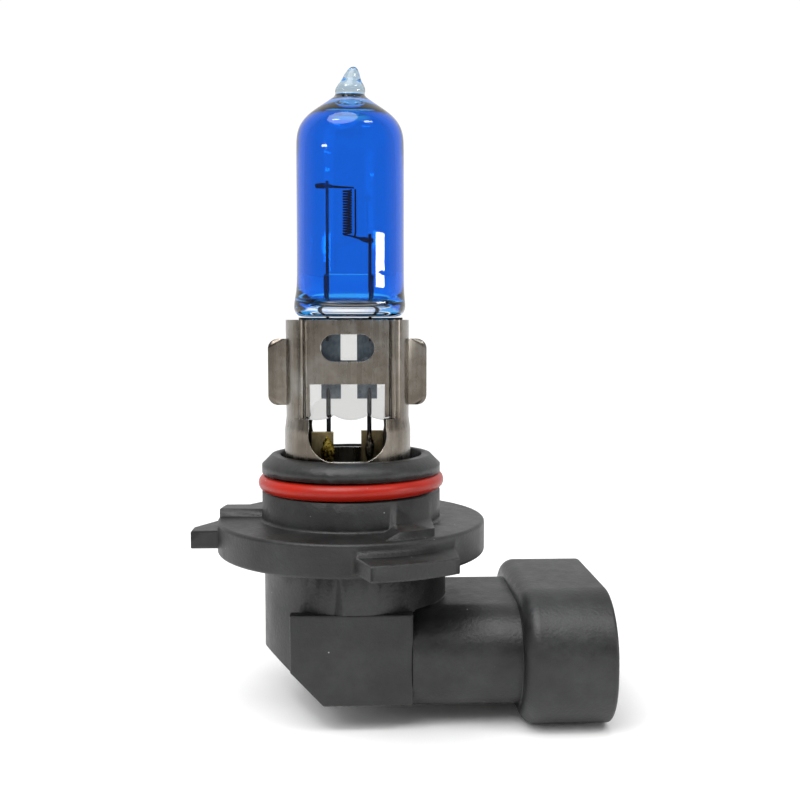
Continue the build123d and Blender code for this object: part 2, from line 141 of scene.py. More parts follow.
# turns a bmesh in millimetres into a finished piece. replaced names the CAD nodes it stands for
def makePiece(name, bm, materials, replaced=(), smoothAngle=35, roundness=0):
    bmesh.ops.scale(bm, verts=bm.verts, vec=(mm, mm, mm))
    mesh = bpy.data.meshes.new(name)
    bm.to_mesh(mesh)
    bm.free()
    mesh.shade_smooth()
    mesh.set_sharp_from_angle(angle=math.radians(smoothAngle))
    piece = bpy.data.objects.new(name, mesh)
    bpy.context.scene.collection.objects.link(piece)
    for material in materials:
        mesh.materials.append(material)
    if roundness:
        surface = piece.modifiers.new("round", "SUBSURF")
        surface.levels = surface.render_levels = roundness
    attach(piece, "root")
    if replaced:
        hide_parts(*replaced)
    return piece


# a CAD node's mesh, merged and smoothed, as a piece in its place
def refineNode(nodeName, pieceName, material, smoothAngle=30):
    bm = bmesh.new()
    bm.from_mesh(nodes[nodeName].data)
    bmesh.ops.scale(bm, verts=bm.verts, vec=(1 / mm, 1 / mm, 1 / mm))
    bmesh.ops.remove_doubles(bm, verts=bm.verts, dist=mergeDistance)
    bmesh.ops.recalc_face_normals(bm, faces=bm.faces)
    for face in bm.faces:
        face.material_index = 0
    piece = makePiece(pieceName, bm, [material], [nodeName], smoothAngle)
    evened = piece.modifiers.new("evened", "WEIGHTED_NORMAL")
    evened.keep_sharp = True


# Glass-filled polyester, moulded: near black with cloudy grey bloom, fine matt grain,
# edges rubbed paler and a little pale dust. Pattern sizes in millimetres
plastic = {"cloud": 9, "mottle": 1.6, "grain": 0.35, "grainDepth": 0.06, "dust": 2.6, "edgeRadius": 0.22,
           "edgeWear": 0.5, "dark": "0F0F0E", "bloom": "292B2A", "worn": "4A4B4A", "speck": "C9C8C4",
           "rough": (0.3, 0.6)}


def mouldedPolyester(look):
    material, tree = newMaterial("mouldedPolyester")
    place = addNode(tree, "ShaderNodeTexCoord").outputs["Object"]
    rounded = addNode(tree, "ShaderNodeBevel", {"samples": 4},
                      {"Radius": look["edgeRadius"] * mm}).outputs["Normal"]
    flat = addNode(tree, "ShaderNodeNewGeometry").outputs["Normal"]
    sameness = addNode(tree, "ShaderNodeVectorMath", {"operation": "DOT_PRODUCT"},
                       {0: rounded, 1: flat}).outputs["Value"]
    edge = addNode(tree, "ShaderNodeMapRange", {}, {
        "Value": sameness, "From Min": 0.995, "From Max": 0.9,
        "To Min": 0.0, "To Max": look["edgeWear"]}).outputs[0]
    cloud = addNode(tree, "ShaderNodeTexNoise", {}, {
        "Vector": place, "Scale": perMm(look["cloud"]), "Detail": 4.0, "Roughness": 0.55}).outputs[0]
    grain = addNode(tree, "ShaderNodeTexNoise", {}, {
        "Vector": place, "Scale": perMm(look["grain"]), "Detail": 2.0}).outputs[0]
    mottle = addNode(tree, "ShaderNodeTexNoise", {}, {
        "Vector": place, "Scale": perMm(look["mottle"]), "Detail": 5.0, "Roughness": 0.7}).outputs[0]
    bloom = addNode(tree, "ShaderNodeValToRGB", {}, {"Fac": cloud})
    bloom.color_ramp.elements[0].position = 0.36
    bloom.color_ramp.elements[0].color = rgb(look["dark"])
    bloom.color_ramp.elements[1].position = 0.68
    bloom.color_ramp.elements[1].color = rgb(look["bloom"])
    flecked = addNode(tree, "ShaderNodeMix", {"data_type": "RGBA", "blend_type": "OVERLAY"},
                      {"Factor": 0.9, "A": bloom.outputs[0], "B": mottle}).outputs["Result"]
    worn = addNode(tree, "ShaderNodeMix", {"data_type": "RGBA"},
                   {"Factor": edge, "A": flecked, "B": rgb(look["worn"])}).outputs["Result"]
    dust = addNode(tree, "ShaderNodeTexVoronoi", {}, {
        "Vector": place, "Scale": perMm(look["dust"])}).outputs["Distance"]
    speck = addNode(tree, "ShaderNodeMapRange", {}, {
        "Value": dust, "From Min": 0.035, "From Max": 0.02, "To Min": 0.0, "To Max": 0.5}).outputs[0]
    colour = addNode(tree, "ShaderNodeMix", {"data_type": "RGBA"},
                     {"Factor": speck, "A": worn, "B": rgb(look["speck"])}).outputs["Result"]
    rough = addNode(tree, "ShaderNodeMapRange", {}, {
        "Value": mottle, "To Min": look["rough"][0], "To Max": look["rough"][1]}).outputs[0]
    bump = addNode(tree, "ShaderNodeBump", {}, {
        "Strength": 0.6, "Distance": look["grainDepth"] * mm, "Height": grain,
        "Normal": rounded}).outputs["Normal"]
    shader = addNode(tree, "ShaderNodeBsdfPrincipled", {}, {
        "Base Color": colour, "Roughness": rough, "IOR": 1.5, "Normal": bump})
    addNode(tree, "ShaderNodeOutputMaterial", {}, {"Surface": shader.outputs[0]})
    return material


# Fused quartz: clear and fire-polished. A coated one has a thin blue film, which starts above
# the pinch in an arch and stops at the neck of the tip. Heights and sizes in millimetres
# the colours for grazing angles paint the glass darker at its edges: painted shade, which on the film is partly
# its longer path
coat = {"foot": 24.1, "arch": 0.04, "top": 46.35, "blend": 0.3, "tipBlend": 1, "ripple": 3.5, "rippleDepth": 0.2,
        # one of these greys is painted shade, a dark patch for the cavity floor
        "smear": 6, "blue": "0460DC", "edge": "06309E", "clear": "F0F4F6", "tip": "A3B6C2", "floorShade": "2E383E",
        "pressed": "D2D2D1", "rim": "8290A0"}


def fusedQuartz(name, coated, clear):
    material, tree = newMaterial(name)
    place = addNode(tree, "ShaderNodeTexCoord").outputs["Object"]
    ripple = addNode(tree, "ShaderNodeTexNoise", {}, {
        "Vector": place, "Scale": perMm(coat["ripple"]), "Detail": 1.0}).outputs[0]
    bump = addNode(tree, "ShaderNodeBump", {}, {
        "Strength": 0.06, "Distance": coat["rippleDepth"] * mm, "Height": ripple}).outputs["Normal"]
    smear = addNode(tree, "ShaderNodeTexNoise", {}, {
        "Vector": place, "Scale": perMm(coat["smear"]), "Detail": 4.0}).outputs[0]
    rough = addNode(tree, "ShaderNodeMapRange", {}, {
        "Value": smear, "From Min": 0.45, "From Max": 0.8, "To Min": 0.0, "To Max": 0.05}).outputs[0]
    # toward grazing angles the quartz is painted darker, as painted shade at its edges
    slant = addNode(tree, "ShaderNodeLayerWeight", {}, {"Blend": 0.35}).outputs["Facing"]
    grazingShade = addNode(tree, "ShaderNodeMath", {"operation": "POWER"}, {0: slant, 1: 3.0}).outputs[0]
    body = addNode(tree, "ShaderNodeMix", {"data_type": "RGBA"},
                   {"Factor": grazingShade, "A": rgb(clear), "B": rgb(coat["rim"])}).outputs["Result"]
    shader = addNode(tree, "ShaderNodeBsdfPrincipled", {}, {
        "Base Color": body, "Roughness": rough, "IOR": 1.46, "Transmission Weight": 1.0, "Normal": bump})
    if coated:
        split = addNode(tree, "ShaderNodeSeparateXYZ", {}, {0: place})
        square = addNode(tree, "ShaderNodeMath", {"operation": "MULTIPLY"},
                         {0: split.outputs["X"], 1: split.outputs["X"]}).outputs[0]
        arched = addNode(tree, "ShaderNodeMath", {"operation": "MULTIPLY_ADD"},
                         {0: square, 1: coat["arch"] / mm, 2: split.outputs["Z"]}).outputs[0]
        above = addNode(tree, "ShaderNodeMapRange", {}, {
            "Value": arched, "From Min": coat["foot"] * mm,
            "From Max": (coat["foot"] + coat["blend"]) * mm}).outputs[0]
        below = addNode(tree, "ShaderNodeMapRange", {}, {
            "Value": split.outputs["Z"], "From Min": coat["top"] * mm,
            "From Max": (coat["top"] - 2 * coat["blend"]) * mm}).outputs[0]
        film = addNode(tree, "ShaderNodeMath", {"operation": "MULTIPLY"}, {0: above, 1: below}).outputs[0]
        # the film is painted a deeper blue at grazing angles: partly its longer path, partly painted shade
        deep = addNode(tree, "ShaderNodeMix", {"data_type": "RGBA"}, {
            "Factor": grazingShade, "A": rgb(coat["blue"]), "B": rgb(coat["edge"])}).outputs["Result"]
        drawn = addNode(tree, "ShaderNodeMapRange", {}, {
            "Value": split.outputs["Z"], "From Min": (coat["top"] - coat["tipBlend"]) * mm,
            "From Max": (coat["top"] + coat["tipBlend"]) * mm}).outputs[0]
        bare = addNode(tree, "ShaderNodeMix", {"data_type": "RGBA"},
                       {"Factor": drawn, "A": body, "B": rgb(coat["tip"])}).outputs["Result"]
        tint = addNode(tree, "ShaderNodeMix", {"data_type": "RGBA"},
                       {"Factor": film, "A": bare, "B": deep}).outputs["Result"]
        tree.links.new(tint, shader.inputs["Base Color"])
    addNode(tree, "ShaderNodeOutputMaterial", {}, {"Surface": shader.outputs[0]})
    return material


# Worked metals, with lines along their length, stains and grit. line, stain and depth are in
# millimetres, and lines run along the axis with the smallest stretch
metals = {
    # Stainless sheet, rolled and pressed: warm grey, lines along the axis, tarnish, and a painted highlight along
    # its edges
    "pressedStainless": {"tints": ("5C554D", "746D64", "8A8781"), "rough": (0.18, 0.36),
                         "stretch": (1, 1, 0.05), "line": 0.7, "stain": 8, "edge": "C0BAB0"},
    # Steel strip, turned up into a ring: dull grey
    "dullSteel": {"tints": ("4A4743", "6B6863"), "rough": (0.35, 0.55), "line": 0.4, "stain": 5},
    # Brass strip, stamped and tarnished: olive brown with a yellow gleam on its edges
    "tarnishedBrass": {"tints": ("4C4230", "74674A", "8E8262"), "rough": (0.25, 0.5),
                       "stretch": (1, 1, 0.15), "line": 0.4, "stain": 2.5, "edge": "B49A5C"},
    # Fused brass and nickel: yellow and uneven
    "fusedBead": {"tints": ("5A4A1C", "9A8232", "C8B45E"), "rough": (0.12, 0.4), "line": 0.3, "stain": 0.6,
                  "depth": 0.12},
    # Darkened steel, where a weld has run over brass: brown grey and uneven
    "scorchedBead": {"tints": ("34302A", "6E675A"), "rough": (0.2, 0.5), "line": 0.3, "stain": 0.6, "depth": 0.12},
    # Molybdenum ribbon, rolled and etched: blue grey, satin
    "rolledMolybdenum": {"tints": ("3E4850", "5D6973", "7A868E"), "rough": (0.35, 0.6),
                         "stretch": (1, 1, 0.1), "line": 0.3, "stain": 1.8},
    # Molybdenum wire, drawn: dark grey, satin
    "drawnMolybdenum": {"tints": ("18191C", "34363A"), "rough": (0.3, 0.5), "stretch": (1, 1, 0.1),
                        "line": 0.12, "stain": 1.2},
    # Tungsten wire, drawn and flashed: nearly black
    "drawnTungsten": {"tints": ("08080A", "141418"), "rough": (0.3, 0.5), "line": 0.1, "stain": 0.8},
}


def workedMetal(name, look):
    material, tree = newMaterial(name)
    place = addNode(tree, "ShaderNodeTexCoord").outputs["Object"]
    drawn = addNode(tree, "ShaderNodeMapping", {}, {
        "Vector": place, "Scale": look.get("stretch", (1, 1, 1))}).outputs[0]
    lines = addNode(tree, "ShaderNodeTexNoise", {}, {
        "Vector": drawn, "Scale": perMm(look["line"]), "Detail": 3.0}).outputs[0]
    stain = addNode(tree, "ShaderNodeTexNoise", {}, {
        "Vector": place, "Scale": perMm(look["stain"]), "Detail": 5.0, "Roughness": 0.65}).outputs[0]
    ramp = addNode(tree, "ShaderNodeValToRGB", {}, {"Fac": stain})
    ramp.color_ramp.elements[0].position = 0.34
    ramp.color_ramp.elements[0].color = rgb(look["tints"][0])
    ramp.color_ramp.elements[1].position = 0.66
    ramp.color_ramp.elements[1].color = rgb(look["tints"][-1])
    if len(look["tints"]) > 2:
        ramp.color_ramp.elements.new(0.5).color = rgb(look["tints"][1])
    colour = addNode(tree, "ShaderNodeMix", {"data_type": "RGBA", "blend_type": "SOFT_LIGHT"},
                     {"Factor": 0.6, "A": ramp.outputs[0], "B": lines}).outputs["Result"]
    spread = addNode(tree, "ShaderNodeMath", {"operation": "ADD"}, {0: lines, 1: stain}).outputs[0]
    rough = addNode(tree, "ShaderNodeMapRange", {}, {
        "Value": spread, "From Min": 0.7, "From Max": 1.3,
        "To Min": look["rough"][0], "To Max": look["rough"][1]}).outputs[0]
    rounded = addNode(tree, "ShaderNodeBevel", {"samples": 4}, {"Radius": 0.1 * mm}).outputs["Normal"]
    # a look with an edge colour has its edges painted paler: a painted highlight
    if "edge" in look:
        flat = addNode(tree, "ShaderNodeNewGeometry").outputs["Normal"]
        sameness = addNode(tree, "ShaderNodeVectorMath", {"operation": "DOT_PRODUCT"},
                           {0: rounded, 1: flat}).outputs["Value"]
        edge = addNode(tree, "ShaderNodeMapRange", {}, {
            "Value": sameness, "From Min": 0.99, "From Max": 0.85}).outputs[0]
        colour = addNode(tree, "ShaderNodeMix", {"data_type": "RGBA"},
                         {"Factor": edge, "A": colour, "B": rgb(look["edge"])}).outputs["Result"]
    bump = addNode(tree, "ShaderNodeBump", {}, {
        "Strength": 0.4, "Distance": look.get("depth", 0.03) * mm, "Height": lines,
        "Normal": rounded}).outputs["Normal"]
    shader = addNode(tree, "ShaderNodeBsdfPrincipled", {}, {
        "Base Color": colour, "Roughness": rough, "Metallic": 1.0, "Normal": bump})
    addNode(tree, "ShaderNodeOutputMaterial", {}, {"Surface": shader.outputs[0]})
    return material


# Silicone rubber, moulded: orange red, a soft gloss, some light in its skin and pale dust
rubber = {"cloud": 5, "dust": 1.1, "grain": 0.4, "grainDepth": 0.03, "deep": "7E0C02", "bright": "B01E06",
          "speck": "F2D8CC", "rough": (0.22, 0.5), "skin": (0.0008, 0.0003, 0.0002)}


def siliconeRubber(look):
    material, tree = newMaterial("siliconeRubber")
    place = addNode(tree, "ShaderNodeTexCoord").outputs["Object"]
    cloud = addNode(tree, "ShaderNodeTexNoise", {}, {
        "Vector": place, "Scale": perMm(look["cloud"]), "Detail": 4.0}).outputs[0]
    tone = addNode(tree, "ShaderNodeMix", {"data_type": "RGBA"}, {
        "Factor": cloud, "A": rgb(look["deep"]), "B": rgb(look["bright"])}).outputs["Result"]
    dust = addNode(tree, "ShaderNodeTexVoronoi", {}, {
        "Vector": place, "Scale": perMm(look["dust"])}).outputs["Distance"]
    speck = addNode(tree, "ShaderNodeMapRange", {}, {
        "Value": dust, "From Min": 0.07, "From Max": 0.04, "To Min": 0.0, "To Max": 0.6}).outputs[0]
    colour = addNode(tree, "ShaderNodeMix", {"data_type": "RGBA"},
                     {"Factor": speck, "A": tone, "B": rgb(look["speck"])}).outputs["Result"]
    grain = addNode(tree, "ShaderNodeTexNoise", {}, {
        "Vector": place, "Scale": perMm(look["grain"]), "Detail": 3.0}).outputs[0]
    rough = addNode(tree, "ShaderNodeMapRange", {}, {
        "Value": grain, "To Min": look["rough"][0], "To Max": look["rough"][1]}).outputs[0]
    bump = addNode(tree, "ShaderNodeBump", {}, {
        "Strength": 0.3, "Distance": look["grainDepth"] * mm, "Height": grain}).outputs["Normal"]
    shader = addNode(tree, "ShaderNodeBsdfPrincipled", {}, {
        "Base Color": colour, "Roughness": rough, "IOR": 1.42, "Subsurface Weight": 0.08,
        "Subsurface Radius": look["skin"], "Subsurface Scale": 0.5, "Normal": bump})
    addNode(tree, "ShaderNodeOutputMaterial", {}, {"Surface": shader.outputs[0]})
    return material


# Epoxy, cast: black and glossy, with a slightly uneven skin
resin = {"wave": 4, "waveDepth": 0.2, "deep": "0E0E10", "bright": "1E1E20", "rough": (0.12, 0.35)}


def castEpoxy(look):
    material, tree = newMaterial("castEpoxy")
    place = addNode(tree, "ShaderNodeTexCoord").outputs["Object"]
    wave = addNode(tree, "ShaderNodeTexNoise", {}, {
        "Vector": place, "Scale": perMm(look["wave"]), "Detail": 2.0}).outputs[0]
    tone = addNode(tree, "ShaderNodeMix", {"data_type": "RGBA"}, {
        "Factor": wave, "A": rgb(look["deep"]), "B": rgb(look["bright"])}).outputs["Result"]
    bump = addNode(tree, "ShaderNodeBump", {}, {
        "Strength": 0.3, "Distance": look["waveDepth"] * mm, "Height": wave}).outputs["Normal"]
    rough = addNode(tree, "ShaderNodeMapRange", {}, {
        "Value": wave, "To Min": look["rough"][0], "To Max": look["rough"][1]}).outputs[0]
    shader = addNode(tree, "ShaderNodeBsdfPrincipled", {}, {
        "Base Color": tone, "Roughness": rough, "IOR": 1.55, "Normal": bump})
    addNode(tree, "ShaderNodeOutputMaterial", {}, {"Surface": shader.outputs[0]})
    return material


polyester = mouldedPolyester(plastic)
silicone = siliconeRubber(rubber)
epoxy = castEpoxy(resin)
coatedQuartz = fusedQuartz("coatedQuartz", True, coat["clear"])
clearQuartz = fusedQuartz("clearQuartz", False, coat["clear"])
pressedQuartz = fusedQuartz("pressedQuartz", False, coat["pressed"])     # a little grey, where it was pressed flat
paintedShadeQuartz = fusedQuartz("paintedShadeQuartz", False, coat["floorShade"])         # painted shade: a dark patch painted on the cavity floor
metal = {name: workedMetal(name, look) for name, look in metals.items()}
print("materials made")

refineNode("base_housing", "baseHousing", polyester, 32)
refineNode("terminal_cover", "terminalCover", polyester, 32)
refineNode("terminal_seal", "terminalSeal", epoxy)

# the sealing ring sits a little low on the blind side. tilt is in degrees
ring = {"tilt": 0.75, "sides": 24, "steps": 128}
ringLow, ringHigh = boxOf("o_ring")
section = (ringHigh.z - ringLow.z) / 2
bm = bmesh.new()
start = bmesh.ops.create_circle(bm, segments=ring["sides"], radius=section)["verts"]
bmesh.ops.rotate(bm, verts=start, cent=(0, 0, 0), matrix=Matrix.Rotation(math.pi / 2, 3, "X"))
bmesh.ops.translate(bm, verts=start, vec=(ringHigh.x - section, 0, 0))
bmesh.ops.spin(bm, geom=bm.verts[:] + bm.edges[:], cent=(0, 0, 0), axis=(0, 0, 1), angle=math.tau,
               steps=ring["steps"], use_merge=True)
bmesh.ops.remove_doubles(bm, verts=bm.verts, dist=mergeDistance)
bmesh.ops.recalc_face_normals(bm, faces=bm.faces)
tilted = Matrix.Rotation(math.radians(-ring["tilt"]), 3, "Y")
bmesh.ops.rotate(bm, verts=bm.verts, cent=(0, 0, 0), matrix=tilted)
bmesh.ops.translate(bm, verts=bm.verts, vec=(0, 0, (ringLow.z + ringHigh.z) / 2))
makePiece("sealingRing", bm, [silicone], ["o_ring"])
print("housing made")

refineNode("clamp_front", "clampFront", metal["pressedStainless"])
refineNode("clamp_rear", "clampRear", metal["pressedStainless"])
refineNode("mounting_ring", "mountingRing", metal["dullSteel"])
print("clamp made")

# The capsule. Each line is pairs of (out, up) in millimetres: footLine and domeLine are out from the
# barrel's radius, tipLine and cavityTop out from the axis. Dome and tip lines are up from the dome's
# start, footLine up from the glass's foot, and cavityFoot up from the cavity's floor
glass = {"clampGap": 0.3, "barrelInset": 0.25, "domeHeight": 7.95, "floor": 1.0, "wall": 0.85, "steps": 48,
         "footLine": [(-1.6, 0), (-0.45, 0.02), (0.1, 0.55), (0.2, 1.4), (0.04, 2.6), (0, 4)],
         "domeLine": [(0, -1.5), (0, 0), (-0.22, 1.32), (-1.1, 2.55)],
         "tipLine": [(3.31, 3.6), (2.2, 4.35), (1.53, 4.85), (1.7, 5.25), (1.6, 5.75), (1.28, 6.2), (1.04, 6.55),
                     (0.88, 7.05), (0.66, 7.5), (0.36, 7.89), (0, 7.99)],
         "cavityFoot": [(-2.6, 0), (-1.35, 0.25), (-0.85, 1.4)],
         "cavityDome": [(-0.85, -0.6), (-1.2, 1.0), (-2.15, 2.1)],
         "cavityTop": [(2.1, 2.95), (0.9, 3.3), (0, 3.35)],
         "shadedFloorRadius": 3.6, "lean": 0.38, "leanStart": 4.9, "leanHeight": 3, "bulge": 0.3, "bulgeHeight": 4.0}
glassHigh = boxOf("glass_envelope")[1]
foot = boxOf("clamp_front")[1].z + glass["clampGap"]
floorTop = foot + glass["floor"]
radius = glassHigh.x - glass["barrelInset"]
domeStart = glassHigh.z - glass["domeHeight"]
barrelMiddle = (foot + domeStart) / 2
outer = [(0, foot)] + moved(glass["footLine"], radius, foot) + [(radius, barrelMiddle)]
outer += moved(glass["domeLine"], radius, domeStart) + moved(glass["tipLine"], 0, domeStart)
cavity = [(0, floorTop)] + moved(glass["cavityFoot"], radius, floorTop) + [(radius - glass["wall"], barrelMiddle)]
cavity += moved(glass["cavityDome"], radius, domeStart) + moved(glass["cavityTop"], 0, domeStart)
bm = bmesh.new()
addTurned(bm, outer, glass["steps"])
# the cavity floor round the axis gets the painted dark patch
for face in addTurned(bm, cavity, glass["steps"], flipped=True):
    middle = face.calc_center_median()
    onShadedFloor = middle.z < floorTop + 0.1 and math.hypot(middle.x, middle.y) < glass["shadedFloorRadius"]
    face.material_index = 2 if onShadedFloor else 1
# the tip was drawn off to one side, and the foot bulges on the other
for vert in bm.verts:
    rise = max(vert.co.z - domeStart - glass["leanStart"], 0) / glass["leanHeight"]
    sag = max(1 - (vert.co.z - foot) / glass["bulgeHeight"], 0) * max(-vert.co.x / radius, 0)
    vert.co.x += glass["lean"] * rise ** 1.5 - glass["bulge"] * sag
capsuleQuartz = [coatedQuartz, clearQuartz, paintedShadeQuartz]
makePiece("quartzCapsule", bm, capsuleQuartz, ["glass_envelope"], 180, 2)

# where the seal stands up inside the capsule, as a clear block round the two leads
shoulder = {"left": -2.95, "right": 2.55, "top": 27.2, "depth": 2.2, "gap": 0.12, "round": 0.35}
shoulderFoot = floorTop + shoulder["gap"]
shoulderWidth = shoulder["right"] - shoulder["left"]
shoulderMiddle = ((shoulder["right"] + shoulder["left"]) / 2, 0, (shoulder["top"] + shoulderFoot) / 2)
bm = bmesh.new()
bmesh.ops.create_cube(bm, size=1)
bmesh.ops.scale(bm, verts=bm.verts, vec=(shoulderWidth, shoulder["depth"], shoulder["top"] - shoulderFoot))
bmesh.ops.translate(bm, verts=bm.verts, vec=shoulderMiddle)
bmesh.ops.bevel(bm, geom=bm.edges[:], offset=shoulder["round"], offset_type="OFFSET", segments=3, profile=0.5,
                affect="EDGES", material=-1)
makePiece("sealShoulder", bm, [clearQuartz], [], 40)

# the flat seal, squeezed in lobes at its foot
pinch = {"halfWidth": 5.73, "thickness": 3.4, "foot": 11.6, "lobes": 3, "lobe": 0.55, "lobeSteps": 8,
         "fullness": 0.8, "gap": 0.06, "round": 0.3}
bm = bmesh.new()
corners = [(-pinch["halfWidth"], foot - pinch["gap"]), (pinch["halfWidth"], foot - pinch["gap"])]
lobeWidth = 2 * pinch["halfWidth"] / pinch["lobes"]
for step in range(pinch["lobes"] * pinch["lobeSteps"]):
    lobe, part = divmod(step, pinch["lobeSteps"])
    along = part / pinch["lobeSteps"]
    hang = pinch["lobe"] * math.sin(math.pi * along) ** pinch["fullness"]
    corners.append((pinch["halfWidth"] - lobeWidth * (lobe + along), pinch["foot"] - hang))
corners.append((-pinch["halfWidth"], pinch["foot"]))
outline = bm.faces.new([bm.verts.new((x, -pinch["thickness"] / 2, z)) for x, z in corners])
pushed = bmesh.ops.extrude_face_region(bm, geom=[outline])["geom"]
pushedVerts = [part for part in pushed if isinstance(part, bmesh.types.BMVert)]
bmesh.ops.translate(bm, verts=pushedVerts, vec=(0, pinch["thickness"], 0))
bmesh.ops.recalc_face_normals(bm, faces=bm.faces)
rims = [edge for edge in bm.edges if abs(edge.verts[0].co.y - edge.verts[1].co.y) < mergeDistance]
bmesh.ops.bevel(bm, geom=rims, offset=pinch["round"], offset_type="OFFSET", segments=3, profile=0.5,
                affect="EDGES", material=-1)
makePiece("pinchSeal", bm, [pressedQuartz], [], 40)
print("glass made")

# the wires in the seal. cutEnd and drawnEnd are how far a wire's ends are narrowed
lead = {"sides": 16, "cutEnd": 0.8, "cutLength": 0.3, "drawnEnd": 0.5, "drawnLength": 0.5}
for side in ("left", "right"):
    refineNode("foil_" + side, "foil" + side.capitalize(), metal["rolledMolybdenum"])
    low, high = boxOf("outer_lead_" + side)
    x, wire = (low.x + high.x) / 2, (high.x - low.x) / 2
    bm = bmesh.new()
    addRod(bm, [(x, low.z, wire * lead["cutEnd"]), (x, low.z + lead["cutLength"], wire),
                (x, high.z - lead["drawnLength"], wire), (x, high.z, wire * lead["drawnEnd"])], lead["sides"])
    makePiece("outerLead" + side.capitalize(), bm, [metal["drawnMolybdenum"]],
              ["outer_lead_" + side])

# the leads that carry the filament, thicker where the glass has run up them
support = {"sides": 16, "glazedLow": 24.9, "glazedHigh": 27.1, "glazedRadius": 0.26, "flowLow": 0.2,
           "flowHigh": 0.3, "endLength": 0.1, "endRadius": 0.6}
for name in ("long", "short"):
    low, high = boxOf("support_lead_" + name)
    x, wire = (low.x + high.x) / 2, (high.x - low.x) / 2
    bm = bmesh.new()
    addRod(bm, [(x, low.z, wire), (x, support["glazedLow"] - support["flowLow"], wire),
                (x, support["glazedLow"], support["glazedRadius"]),
                (x, support["glazedHigh"] - support["flowHigh"], support["glazedRadius"]),
                (x, support["glazedHigh"], wire), (x, high.z - support["endLength"], wire),
                (x, high.z, wire * support["endRadius"])], support["sides"])
    makePiece("supportLead" + name.capitalize(), bm, [metal["drawnMolybdenum"]],
              ["support_lead_" + name])
print("wires made")

# the coil and its two legs, whose stations are (x, z, radius) in millimetres
coil = {"x": -0.34, "radius": 0.44, "wire": 0.11, "turns": 16.5, "foot": 31.7, "top": 36.5, "perTurn": 20,
        "sides": 8,
        "upperLeg": [(-2.3, 36.88, 0.17), (-1.6, 36.83, 0.14), (-0.6, 36.78, 0.11), (0.1, 36.76, 0.095),
                     (0.32, 36.74, 0.09), (0.44, 36.72, 0.06)],
        "lowerLeg": [(-0.78, 31.75, 0.085), (-0.75, 31.62, 0.085), (-0.58, 31.57, 0.085), (0.2, 31.42, 0.1),
                     (0.9, 31.22, 0.14), (1.5, 31.1, 0.18)]}
bm = bmesh.new()
start = bmesh.ops.create_circle(bm, segments=coil["sides"], radius=coil["wire"])["verts"]
bmesh.ops.rotate(bm, verts=start, cent=(0, 0, 0), matrix=Matrix.Rotation(math.pi / 2, 3, "X"))
bmesh.ops.translate(bm, verts=start, vec=(coil["radius"], 0, 0))
steps = int(coil["turns"] * coil["perTurn"])
drop = (coil["top"] - coil["foot"]) / steps
bmesh.ops.spin(bm, geom=bm.verts[:] + bm.edges[:], cent=(0, 0, 0), axis=(0, 0, 1),
               angle=math.tau * coil["turns"], steps=steps, dvec=(0, 0, -drop), use_merge=False)
bmesh.ops.holes_fill(bm, edges=[edge for edge in bm.edges if edge.is_boundary], sides=coil["sides"])
bmesh.ops.translate(bm, verts=bm.verts, vec=(coil["x"], 0, coil["top"]))
addRod(bm, coil["upperLeg"])
addRod(bm, coil["lowerLeg"])
bmesh.ops.recalc_face_normals(bm, faces=bm.faces)
makePiece("filamentCoil", bm, [metal["drawnTungsten"]], ["filament"], 60)

# the thin upright wire, straight down to a bend above its foot
stay = {"radius": 0.1, "endLength": 0.1, "endRadius": 0.06, "bend": 31.9, "bentX": -0.06, "bentHeight": 31.5,
        "footX": -0.16, "footGap": 0.12, "footRadius": 0.08}
low, high = boxOf("stay_wire")
x = (low.x + high.x) / 2
bm = bmesh.new()
addRod(bm, [(x, high.z, stay["endRadius"]), (x, high.z - stay["endLength"], stay["radius"]),
            (x, stay["bend"], stay["radius"]), (x + stay["bentX"], stay["bentHeight"], stay["radius"]),
            (x + stay["footX"], low.z + stay["footGap"], stay["footRadius"])])
makePiece("stayWire", bm, [metal["drawnTungsten"]], ["stay_wire"])

# the crimps that grip the legs, squeezed a little flat. Stations are (x, z, radius)
crimps = {"sides": 16, "squash": 0.8,
          "upper": [(-3.9, 36.9, 0.18), (-3.78, 36.92, 0.27), (-3.2, 36.95, 0.31), (-2.6, 36.93, 0.3),
                    (-2.25, 36.9, 0.22), (-2.0, 36.88, 0.16)],
          "lower": [(1.05, 31.16, 0.15), (1.35, 31.1, 0.26), (1.8, 31.0, 0.31), (2.3, 30.95, 0.3),
                    (2.6, 30.95, 0.2), (2.66, 30.95, 0.1)]}
for name in ("upper", "lower"):
    bm = bmesh.new()
    addRod(bm, crimps[name], crimps["sides"], crimps["squash"])
    makePiece(name + "Crimp", bm, [metal["drawnMolybdenum"]], ["crimp_" + name])
print("filament made")

refineNode("terminal_left", "terminalLeft", metal["tarnishedBrass"])
refineNode("terminal_right", "terminalRight", metal["tarnishedBrass"])
# each splash is a flattened drop, pulled down its strip and roughened by coarse and fine lumps
splashes = {
    "leftSplash": {"place": (-2.62, -1.05, 7.7), "size": (1.5, 0.42, 3.0), "metal": "fusedBead", "seed": 3.0},
    "rightSplash": {"place": (2.06, -0.28, 7.9), "size": (0.95, 0.9, 3.3), "metal": "scorchedBead", "seed": 9.0}}
lumps = {"coarse": 5, "coarseHeight": 0.16, "fine": 14, "fineHeight": 0.05, "taper": 0.9}
for name, splash in splashes.items():
    seed = Vector((splash["seed"], 0, 0))
    bm = bmesh.new()
    bmesh.ops.create_icosphere(bm, subdivisions=5, radius=0.5)
    for vert in bm.verts:
        lump = noise.noise(vert.co * lumps["coarse"] + seed) * lumps["coarseHeight"]
        lump += noise.noise(vert.co * lumps["fine"] + seed) * lumps["fineHeight"]
        narrow = 1 - lumps["taper"] * max(vert.co.z, 0)
        vert.co = Vector((vert.co.x * narrow, vert.co.y * narrow, vert.co.z)) * (1 + lump)
    bmesh.ops.scale(bm, verts=bm.verts, vec=splash["size"])
    bmesh.ops.translate(bm, verts=bm.verts, vec=splash["place"])
    makePiece(name, bm, [metal[splash["metal"]]], ["lead_welds"], 60)
print("terminals made")

